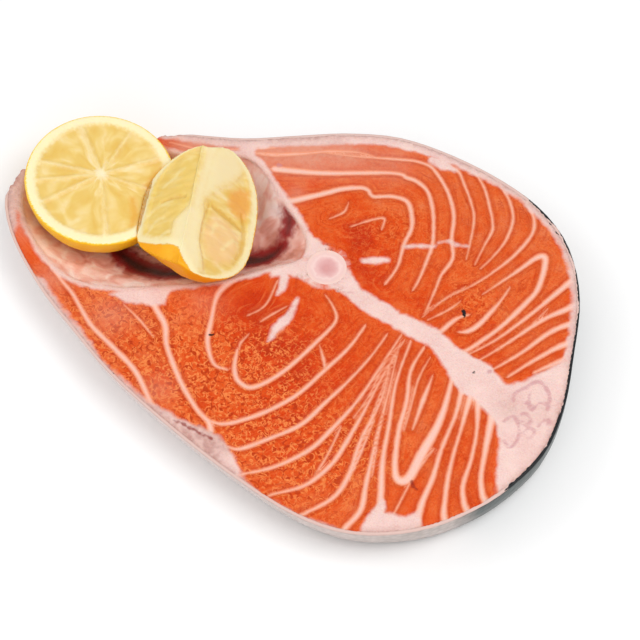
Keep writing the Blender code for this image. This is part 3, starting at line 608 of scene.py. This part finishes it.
def make_backbone(finish):
    """One vertebra: a spun profile with a shallow dish in each end, and a lip that closes on the flesh."""
    half = THICKNESS / 2
    outline = [(0, 0.62), (1.4, 0.56), (2.6, 0.34), (3.4, 0.26), (4.6, 0.22), (5.6, 0.08), (6.4, 0.04),
               (BONE_RADIUS - 0.1, 0.05), (BONE_RADIUS + 0.35, 0.2), (BONE_RADIUS + 0.3, 0.5),
               (BONE_RADIUS - 0.1, 0.9)]
    outline = [(x, half - sunk) for x, sunk in outline]
    outline += [(x, -z) for x, z in reversed(outline)]
    shape = spun([(x, z + half) for x, z in outline], 64)
    bmesh.ops.translate(shape, verts=shape.verts, vec=(BONE_AT[0] * MM, BONE_AT[1] * MM, 0))
    return piece("vertebra", shape, finish, "backbone")


def make_half_lemon(finish):
    """Half a lemon: pulp a little below its pith, and segments parted by membranes."""
    outline = [(0, 0), (HALF_RADIUS - 1.2, 0), (HALF_RADIUS - 0.3, -0.3), (HALF_RADIUS, -1.0)]
    for angle in range(8, 90, 8):
        turn = math.radians(angle)
        outline.append((HALF_RADIUS * math.cos(turn), -HALF_DEPTH * math.sin(turn)))
    outline.append((0, -HALF_DEPTH))
    mesh = even_mesh(spun(outline, 72), LEMON_MESH, 0)
    rows = places_of(mesh)
    spots = rows[:, :2].copy()
    radius = np.linalg.norm(spots, axis=1)
    from_core = spots - HALF_CORE
    reach = np.linalg.norm(from_core, axis=1)
    turn = np.mod(np.arctan2(from_core[:, 1], from_core[:, 0]), math.tau)
    cut = (rows[:, 2] > -0.45) & (radius < HALF_RADIUS - 0.4)
    rind = HALF_RADIUS - radius
    member = np.full(len(rows), 9.0)
    segment = np.zeros(len(rows))
    for degrees, width in HALF_WALLS:
        away = (turn - math.radians(degrees) + math.pi) % math.tau - math.pi
        side = np.where(np.abs(away) < math.pi / 2, reach * np.sin(np.abs(away)), 9.0)
        member = np.minimum(member, side - width * (0.3 + 0.7 * radius / HALF_RADIUS) / 2)
        segment += turn > math.radians(degrees)
    pulp = cut & (rind > PITH) & (reach > 2.0)
    wet = rough(np.column_stack([reach * 0.3, turn * 6, segment * 3]), 1.2, 5)
    dip = ease(rind, PITH - 0.2, PITH + 1.0) * ease(reach, 1.5, 3.5)
    rows[cut, 2] += (-0.15 - HALF_DIP * dip * ease(member, 0, 1.1) + 0.14 * wet * pulp)[cut]
    peel = ~cut & (rows[:, 2] < -0.8)
    rows[peel] *= dimpled(rows)[peel]
    store(mesh, cut=cut, rind=np.where(cut, rind, 0), member=member, along=reach, across=turn * 9 + segment * 3,
          core=reach - 1.3, shade=stroke_gap(spots, HALF_SHADES))
    set_places(mesh, laid(rows, HALF_SEAT))
    return piece("half_lemon", mesh, finish, "lemon_half")


def make_wedge(finish):
    """A lemon wedge: a fruit cut by two planes that meet in a soft ridge, hollowed where it bears on the half."""
    shape = bmesh.new()
    bmesh.ops.create_uvsphere(shape, u_segments=72, v_segments=48, radius=1)
    for vert in shape.verts:
        reach = max(vert.co.xz.length, 1e-6)
        blunt = WEDGE_RADIUS * (1 - min(abs(vert.co.y), 1) ** WEDGE_BLUNT[0]) ** WEDGE_BLUNT[1] / reach
        vert.co = Vector((vert.co.x * blunt, vert.co.y * WEDGE_HALF_LENGTH, vert.co.z * blunt)) * MM
    for side, slope in ((-1, WEDGE_SLOPES[0]), (1, WEDGE_SLOPES[1])):
        outward = Vector((side * math.sin(math.radians(slope)), 0, math.cos(math.radians(slope))))
        bmesh.ops.bisect_plane(shape, geom=shape.verts[:] + shape.edges[:] + shape.faces[:], dist=1e-7,
                               plane_co=(WEDGE_RIDGE * MM, 0, 0), plane_no=outward, clear_outer=True)
        bmesh.ops.remove_doubles(shape, verts=shape.verts, dist=0.05 * MM)
        bmesh.ops.holes_fill(shape, edges=[e for e in shape.edges if e.is_boundary])
    bmesh.ops.triangulate(shape, faces=shape.faces)
    bmesh.ops.recalc_face_normals(shape, faces=shape.faces)
    mesh = even_mesh(shape, LEMON_MESH, 0)
    rows = places_of(mesh)
    reach = np.linalg.norm(rows[:, [0, 2]], axis=1)
    from_end = 1 - np.clip(np.abs(rows[:, 1]) / WEDGE_HALF_LENGTH, 0, 1) ** WEDGE_BLUNT[0]
    rind = WEDGE_RADIUS * from_end ** WEDGE_BLUNT[1] - reach
    cut = np.zeros(len(rows))
    # both faces laid flat side by side: down from the ridge, under 0 on the left one, and along it
    flat = np.column_stack([np.zeros(len(rows)), rows[:, 1]])
    outward = np.zeros((len(rows), 3))
    for side, slope in ((-1, WEDGE_SLOPES[0]), (1, WEDGE_SLOPES[1])):
        lean = math.radians(slope)
        from_ridge = rows - (WEDGE_RIDGE, 0, 0)
        above = from_ridge @ np.array((side * math.sin(lean), 0, math.cos(lean)))
        slide = from_ridge @ np.array((side * math.cos(lean), 0, -math.sin(lean)))
        on = (above > -0.45) & (rind > 0.35) & (slide > -0.3)
        cut[on] = 1
        flat[on, 0] = side * slide[on]
        outward[on] = (side * math.sin(lean), 0, math.cos(lean))
    # the far end is fuller beyond the ridge than on it
    rows[:, 1] += ease(rows[:, 1], 8, 26) * (-2.6 + 4.8 * ease(rows[:, 0], WEDGE_RIDGE, 8))
    # and the near end is trimmed on the left
    rows[:, 1] += 4.6 * ease(-rows[:, 0], -6, 15) * ease(-rows[:, 1], 4, 24)
    flat[:, 1] = rows[:, 1]
    # the near end of the left face falls away as peel
    to_peel = np.where(cut > 0.5, field_gap(flat, list(smooth_curve(WEDGE_PEEL))), FAR)
    rows += outward * (-0.9 * ease(-to_peel, 0, 5))[:, None]
    rind = np.minimum(rind, to_peel)
    cut[to_peel < 0.35] = 0
    marks = {"member": stroke_gap(flat, WEDGE_STREAKS), "shade": stroke_gap(flat, WEDGE_CREASES)}
    for name, fields in WEDGE_FIELDS.items():
        marks[name] = np.min([field_gap(flat, outline) for outline in fields], axis=0)
    marks["pith"] = np.minimum(marks["pith"], stroke_gap(flat, [WEDGE_CREAM]))
    pulp = ease(rind, PITH - 0.2, PITH + 1.2) * ease(marks["pith"], -0.4, 1.0)
    wet = rough(np.column_stack([flat[:, 0] * 0.45, flat[:, 1] * 0.9, rows[:, 2] * 0]), 2.0, 6)
    crease = 1 - ease(marks["shade"], -0.2, 0.9)
    swell = 0.35 * ease(-marks["oval"], -0.2, 4.0)
    rows += outward * (-0.1 - WEDGE_DIP * pulp + 0.3 * wet * pulp + swell - 0.5 * crease)[:, None]
    peel = cut < 0.5
    rows[peel] *= dimpled(rows)[peel]
    # soften the ridge
    rows[:, 2] -= RIDGE_WEAR * np.exp(-((rows[:, 0] - WEDGE_RIDGE) / 4.2) ** 2) * (rows[:, 2] > -12)
    store(mesh, cut=cut, rind=np.where(cut > 0.5, rind, 0), along=np.abs(flat[:, 0]),
          across=rows[:, 1] + np.sign(flat[:, 0]) * 1.5, **marks)
    rows = laid(rows, Matrix.Translation(WEDGE_AT) @ Matrix.Rotation(math.radians(WEDGE_TURN), 4, "Z"))
    # hollow where it bears on the half lemon: what is inside goes up to its face or out to its peel, if that is nearer
    local = (rows - np.array(HALF_SEAT.translation)) @ np.array(HALF_SEAT.to_3x3())
    size = np.linalg.norm(local / (HALF_RADIUS + CLEAR, HALF_RADIUS + CLEAR, HALF_DEPTH + CLEAR), axis=1)
    up = CLEAR - local[:, 2]
    out = local * (1 / np.maximum(size, 1e-6) - 1)[:, None]
    higher = (up < np.linalg.norm(out, axis=1))[:, None]
    sunk = (size < 1) & (up > 0)
    local[sunk] += np.where(higher, np.column_stack([up * 0, up * 0, up]), out)[sunk]
    set_places(mesh, laid(local, HALF_SEAT))
    return piece("wedge_of_lemon", mesh, finish, "lemon_wedge")


def salmon_muscle():
    # raw salmon, cut with a knife: wet, slightly translucent orange muscle, parted by pale sheets of fat
    made, add, shade, place = start_material("raw_salmon_muscle")
    tell = {name: add("Attribute", attribute_name=name, out="Fac") for name in (
        "septum", "side", "width", "fat", "swirl", "speck", "lining", "tone", "grain", "rim", "low", "kidney", "veil",
        "scar", "dusk")}
    # the nearest septum's edge: exact beside its middle, and kept clear of the seam halfway to the next one
    exact = add("Math", (tell["side"],), "ABSOLUTE")
    exact = add("Math", (exact, tell["width"]), "SUBTRACT")
    clear_of = add("Math", (tell["septum"], 0.4), "SUBTRACT")
    tell["septum"] = add("Math", (exact, clear_of), "MAXIMUM")
    broad = add("TexNoise", {"Vector": place, "Scale": 0.11, "Detail": 3.5, "Roughness": 0.6})
    fibre = add("TexNoise", {"Vector": place, "Scale": 0.42, "Detail": 1.0, "Distortion": 1.8})
    clump = add("TexNoise", {"Vector": place, "Scale": 0.6, "Detail": 1.0})
    fine = add("TexNoise", {"Vector": place, "Scale": 1.7, "Roughness": 0.6})
    wander = add("TexNoise", {"Vector": place, "Scale": 0.3})
    # muscle: from deep to pale by its place and the broad noise
    depth = add("Math", (tell["tone"], -0.3, broad), "MULTIPLY_ADD")
    depth = add("Math", (fine, 0.3, depth), "MULTIPLY_ADD")
    colour = add("ValToRGB", (depth,), stops=(
        (0.2, "C62E00"), (0.42, "D84004"), (0.62, "E05214"), (0.82, "E1622C"), (1.0, "E27448")))
    # ends of the muscle fibres: worm-like pale flecks, 0.5 mm wide and 1 to 2 mm long, with dark between them
    worm = add("Math", (fibre, 0.5), "SUBTRACT")
    worm = add("Math", (worm,), "ABSOLUTE")
    worm = add("MapRange", (worm, 0.11, 0.0))
    broken = add("MapRange", (clump, 0.42, 0.56))
    worm = add("Math", (worm, broken), "MULTIPLY")
    worm = add("Math", (worm, tell["grain"]), "MULTIPLY")
    hollow = add("MapRange", (fibre, 0.47, 0.33, 0, 0.85))
    hollow = add("Math", (hollow, tell["grain"]), "MULTIPLY")
    # fine streaks that run with the septa
    beside = add("VectorMath", (place, (0.1, 0.1, 0.1)), "MULTIPLY")
    across = add("CombineXYZ", (tell["septum"],))
    across = add("VectorMath", (across, beside), "ADD")
    streaks = add("TexNoise", {"Vector": across, "Scale": 1.1, "Roughness": 0.6})
    light = add("MapRange", (streaks, 0.52, 0.72, 0, 0.5))
    dark = add("MapRange", (streaks, 0.46, 0.3, 0, 0.6))
    # a pinkish film, in patches
    film = add("Math", (clump, 0.8, 0.5), "MULTIPLY_ADD")
    film = add("Math", (film, tell["veil"]), "MULTIPLY", use_clamp=True)
    # a darker line beside each septum, where the flake's edge turns down: painted shade
    septum_edge_shade = add("MapRange", (tell["septum"], 1.7, 0.5, 0, 0.5))
    for mask, tint in ((dark, "C03606"), (light, "EC7C40"), (hollow, "B43204"), (septum_edge_shade, "C03A06"), (worm, "F38C4A"),
                       (film, "E2947A")):
        colour = add("Mix", {0: mask, 6: colour, 7: tint}, **RGBA)
    # edges of septa and fat wander by about half a millimetre
    stray = add("Math", (wander, 1.6, -1.55), "MULTIPLY_ADD")
    stray = add("Math", (clump, 1.5, stray), "MULTIPLY_ADD")
    drift = add("Math", (wander, 3.0, -1.5), "MULTIPLY_ADD")
    masks = {}
    for name, outer, inner, noisy, astray in (
            ("septum", 0.5, -0.5, stray, 0.24), ("fat", 0.9, -0.9, drift, 0.7), ("swirl", 0.5, -0.4, drift, 0.5),
            ("speck", 0.2, -0.15, stray, 0.3), ("scar", 0.4, -0.3, stray, 0.5), ("kidney", 2.0, -1.5, drift, 1.6)):
        moved = add("Math", (noisy, astray, tell[name]), "MULTIPLY_ADD")
        masks[name] = add("MapRange", (moved, outer, inner), interpolation_type="SMOOTHSTEP")
    # a septum is orange at its edges and paler in its heart
    heart = add("MapRange", (tell["septum"], -0.1, -1.1))
    sheath = add("Mix", {0: broad, 6: "EE8456", 7: "F9B696"}, **RGBA)
    pale = add("Mix", {0: heart, 6: sheath, 7: "F8CBBB"}, **RGBA)
    # fat is clear inside, and greyed and mottled towards the skin
    tallow = add("ValToRGB", (broad,), stops=((0.3, "DDA69E"), (0.7, "F1CCC2")))
    tallow = add("Mix", {0: fine, 6: tallow, 7: "F5DAD3"}, **RGBA)
    mottled = add("ValToRGB", (clump,), stops=((0.36, "BE8C82"), (0.68, "DCB4AA")))
    greyed = add("Math", (tell["rim"], 0.92), "MULTIPLY")
    suet = add("Mix", {0: greyed, 6: tallow, 7: mottled}, **RGBA)
    # belly lining: a pink membrane in streaks that run down the wall, paler at the lip and browner with depth below
    # it, partly its own tone and partly painted shade, dark with blood at its end, and blood with painted shadow under
    # the lemons
    along = add("Mapping", {"Vector": place, "Scale": (1.0, 1.0, 0.45)})
    streak = add("TexNoise", {"Vector": along, "Scale": 0.17, "Distortion": 0.6})
    deep = add("Math", (tell["low"], 0.014, streak), "MULTIPLY_ADD")
    deep = add("Math", (deep, tell["dusk"]), "ADD")
    wall = add("ValToRGB", (deep,), stops=(
        (0.36, "FFE9E2"), (0.5, "F8CFC4"), (0.62, "F0B8AA"), (0.76, "E09A88"), (1.0, "BE7864")))
    # darker deeper inside a stroke: dark blood at the cavity's end, and near black painted shadow under the lemons
    clot_and_shadow = add("MapRange", (tell["kidney"], -1.2, -4.0))
    clot_and_shadow = add("Mix", {0: clot_and_shadow, 6: "9C1E22", 7: "3A0508"}, **RGBA)
    blood_and_shadow_mask = add("Math", (masks["kidney"], 0.94), "MULTIPLY")
    lined = add("Mix", {0: blood_and_shadow_mask, 6: wall, 7: clot_and_shadow}, **RGBA)
    for mask, share, tint in (
            (masks["septum"], 0.92, pale), (masks["fat"], 1, suet), (masks["swirl"], 0.6, "C98A90"),
            (masks["scar"], 0.75, "8A2016"), (tell["lining"], 1, lined), (masks["speck"], 1, "1C1518")):
        if share < 1:
            mask = add("Math", (mask, share), "MULTIPLY")
        colour = add("Mix", {0: mask, 6: colour, 7: tint}, **RGBA)
    # wet: a broken film of juice, shiny between the fibres
    gloss = add("MapRange", (fine, 0.3, 0.7, 0.22, 0.45))
    height = add("Math", (fibre, 1.0, fine), "MULTIPLY_ADD")
    grainy = add("MapRange", (tell["lining"], 0, 1, 1.0, 0.25))
    height = add("Math", (height, grainy), "MULTIPLY")
    bump = add("Bump", {"Height": height, "Strength": 0.45, "Distance": 0.0006})
    shade({"Base Color": colour, "Roughness": gloss, "Normal": bump, "IOR": 1.38, "Specular IOR Level": 0.22,
           "Subsurface Weight": 0.1, "Subsurface Radius": (1.0, 0.35, 0.15), "Subsurface Scale": 0.0015})
    return made


def fish_skin():
    # salmon skin: dark and scaled over the back, silver to pale pink at the belly, black where its edge is cut
    made, add, shade, place = start_material("scaled_salmon_skin")
    back, ink, low = (add("Attribute", attribute_name=name, out="Fac") for name in ("back", "ink", "low"))
    # scales about 2.5 mm across
    scales = add("TexVoronoi", {"Vector": place, "Scale": 0.4, "Randomness": 0.55})
    mottle = add("TexNoise", {"Vector": place, "Scale": 0.18, "Detail": 4.0})
    fine = add("TexNoise", {"Vector": place, "Scale": 0.6})
    dark = add("Mix", {0: mottle, 6: "1E2728", 7: "4C5855"}, **RGBA)
    shine = add("MapRange", (scales, 0.1, 0.8, 0, 0.4))
    dark = add("Mix", {0: shine, 6: dark, 7: "191F20"}, **RGBA)
    colour = add("Mix", {0: mottle, 6: "D3B7B0", 7: "E9DAD6"}, **RGBA)
    silver = add("Mix", {0: scales, 6: "CBBDB7", 7: "A3958F"}, **RGBA)
    part = add("Math", (mottle, 0.24, back), "MULTIPLY_ADD")
    torn = add("Math", (fine, 1.1, ink), "MULTIPLY_ADD")
    # from the belly's pink to silver and the dark back, and on top fat until the black of the skin itself
    for value, begin, full, tint in ((part, 0.2, 0.5, silver), (part, 0.62, 0.95, dark), (low, 0.9, 0.5, "DEBDB4"),
                                     (torn, 0.48, 0.62, "14161A")):
        share = add("MapRange", (value, begin, full))
        colour = add("Mix", {0: share, 6: colour, 7: tint}, **RGBA)
    bump = add("Bump", {"Height": scales, "Strength": 0.4, "Distance": 0.0003})
    shade({"Base Color": colour, "Normal": bump, "Roughness": 0.32, "IOR": 1.4})
    return made


def vertebra_bone():
    # raw fish bone: moist, pale pink, with rings of growth and a mauve middle
    made, add, shade, place = start_material("raw_fish_bone")
    centred = add("VectorMath", (place, (-BONE_AT[0], -BONE_AT[1], 0)), "ADD")
    flat = add("VectorMath", (centred, (1, 1, 0)), "MULTIPLY")
    reach = add("VectorMath", (flat,), "LENGTH", out="Value")
    mottle = add("TexNoise", {"Vector": place, "Scale": 0.35, "Detail": 3.0})
    moved = add("Math", (mottle, 2.8, reach), "MULTIPLY_ADD")
    rings = add("ValToRGB", (add("Math", (moved, 8.7), "DIVIDE"),), stops=(
        (0.14, "DDA09C"), (0.3, "DA9E9C"), (0.5, "E2AEAC"), (0.62, "EBC0BC"), (0.7, "F3D2CC"), (0.8, "EDC8C2"),
        (0.98, "F4D0C4")))
    bump = add("Bump", {"Height": mottle, "Strength": 0.3, "Distance": 0.0005})
    shade({"Base Color": rings, "Normal": bump, "Roughness": 0.38, "Specular IOR Level": 0.35,
           "Subsurface Weight": 0.15, "Subsurface Radius": (1.0, 0.6, 0.5), "Subsurface Scale": 0.001})
    return made


def lemon(name, peel_tints, layers):
    # a ripe lemon, cut with a knife: waxy dimpled peel, dry white pith, wet pulp of long juice sacs
    made, add, shade, place = start_material(name)
    cut, along, across = (add("Attribute", attribute_name=key, out="Fac") for key in ("cut", "along", "across"))
    # oil glands about 1.3 mm apart
    pores = add("TexVoronoi", {"Vector": place, "Scale": 0.75, "Randomness": 0.8})
    mottle = add("TexNoise", {"Vector": place, "Scale": 0.12, "Detail": 3.0})
    peel = add("Mix", {0: mottle, 6: peel_tints[0], 7: peel_tints[1]}, **RGBA)
    # juice sacs: about 2 mm wide and 6 mm long, lying from the core to the peel
    lie = add("CombineXYZ", (along, across))
    sacs = add("Mapping", {"Vector": lie, "Scale": (0.13, 0.32, 1.0)})
    vesicle = add("TexNoise", {"Vector": sacs, "Scale": 1.0, "Roughness": 0.45, "Distortion": 0.6})
    colour = add("ValToRGB", (vesicle,), stops=(
        (0.3, "E8C062"), (0.46, "EBC870"), (0.58, "F0D286"), (0.72, "F5DEA6")))
    fine = add("TexNoise", {"Vector": place, "Scale": 0.7})
    stray = add("Math", (fine, 1.8, -0.9), "MULTIPLY_ADD")
    for key, outer, inner, tint, share in layers:
        gap = add("Attribute", attribute_name=key, out="Fac")
        moved = add("Math", (gap, stray), "ADD")
        mask = add("MapRange", (moved, outer, inner, 0, share), interpolation_type="SMOOTHSTEP")
        colour = add("Mix", {0: mask, 6: colour, 7: tint}, **RGBA)
    colour = add("Mix", {0: cut, 6: peel, 7: colour}, **RGBA)
    dimple = add("MapRange", (pores, 0.0, 0.4))
    height = add("Mix", {0: cut, 2: dimple, 3: vesicle}, data_type="FLOAT")
    bump = add("Bump", {"Height": height, "Strength": 0.22, "Distance": 0.0004})
    gloss = add("MapRange", (cut, 0, 1, 0.38, 0.3))
    shade({"Base Color": colour, "Normal": bump, "Roughness": gloss, "IOR": 1.4, "Specular IOR Level": 0.35,
           "Subsurface Weight": 0.25, "Subsurface Radius": (1.0, 0.8, 0.3), "Subsurface Scale": 0.002})
    return made


def studio():
    """A pale floor, soft light from above and two sides, and a camera that looks steeply down."""
    shape = bmesh.new()
    bmesh.ops.create_grid(shape, x_segments=1, y_segments=1, size=3.0)
    mesh = bpy.data.meshes.new("floor")
    shape.to_mesh(mesh)
    shape.free()
    floor = bpy.data.objects.new("floor", mesh)
    bpy.context.scene.collection.objects.link(floor)
    # matt white paper
    paper = bpy.data.materials.new("white_paper")
    paper.use_nodes = True
    fill(paper.node_tree, paper.node_tree.nodes["Principled BSDF"], {"Base Color": "FDFDFD", "Roughness": 0.9})
    mesh.materials.append(paper)
    world = bpy.data.worlds.new("studio")
    bpy.context.scene.world = world
    world.use_nodes = True
    fill(world.node_tree, world.node_tree.nodes["Background"], ((1, 1, 1, 1), 0.58))
    for name, at, size, power in (("softbox", (0.37, 0.1, 0.85), 0.5, 3.6), ("fill", (-0.62, -0.25, 0.5), 0.5, 1.3),
                                  ("front", (0.3, -0.6, 0.45), 0.6, 1.0)):
        light = bpy.data.lights.new(name, "AREA")
        light.size = size
        light.energy = power
        lamp = bpy.data.objects.new(name, light)
        lamp.location = at
        lamp.rotation_euler = (-Vector(at)).to_track_quat("-Z", "Y").to_euler()
        bpy.context.scene.collection.objects.link(lamp)
    height, turn = (math.radians(angle) for angle in (CAMERA_HEIGHT, CAMERA_TURN))
    look = Vector((-math.sin(turn) * math.cos(height), math.cos(turn) * math.cos(height), -math.sin(height)))
    lens = bpy.data.cameras.new("camera")
    lens.sensor_width = SENSOR
    lens.lens = CAMERA_LENS
    camera = bpy.data.objects.new("camera", lens)
    camera.location = Vector(CAMERA_AIM) - look * CAMERA_FROM
    camera.rotation_euler = look.to_track_quat("-Z", "Y").to_euler()
    bpy.context.scene.collection.objects.link(camera)
    bpy.context.scene.camera = camera
    bpy.context.scene.view_settings.view_transform = "Standard"


make_flesh(salmon_muscle())
make_skin(fish_skin())
make_backbone(vertebra_bone())
# layers over the pulp: attribute, where it begins and is full in mm, colour and share
make_half_lemon(lemon("cut_lemon_across", ("FFB808", "FFD236"), (
    ("shade", 1.2, -1.2, "E9AE46", 0.8), ("member", 1.2, -0.9, "F8E4B4", 0.55), ("core", 2.2, -1.0, "FBEFCC", 0.85),
    ("rind", PITH + 1.2, PITH - 1.2, "FBF0C2", 0.95), ("rind", 1.0, 0.1, "F5E06A", 0.9))))
make_wedge(lemon("cut_lemon_along", ("F79E00", "FFC01A"), (
    # the left face's golder tint is painted shade
    ("left", 2.5, -5.0, "ECCB6C", 0.6), ("oval", 1.8, -2.4, "F6CB92", 0.7), ("patch", 1.8, -1.8, "EFAA50", 0.85),
    ("pith", 2.8, -3.0, "F5E4B4", 0.9), ("member", 0.9, -0.7, "F6E3A6", 0.55),
    # the wedge's zest edge is painted browner than the half's, as painted shade on its edge
    ("rind", PITH + 0.6, PITH - 2.2, "FAEDBE", 0.85), ("rind", 0.8, 0.1, "E2B23C", 0.8),
    ("shade", 0.7, -0.5, "D9A23C", 0.5))))
studio()
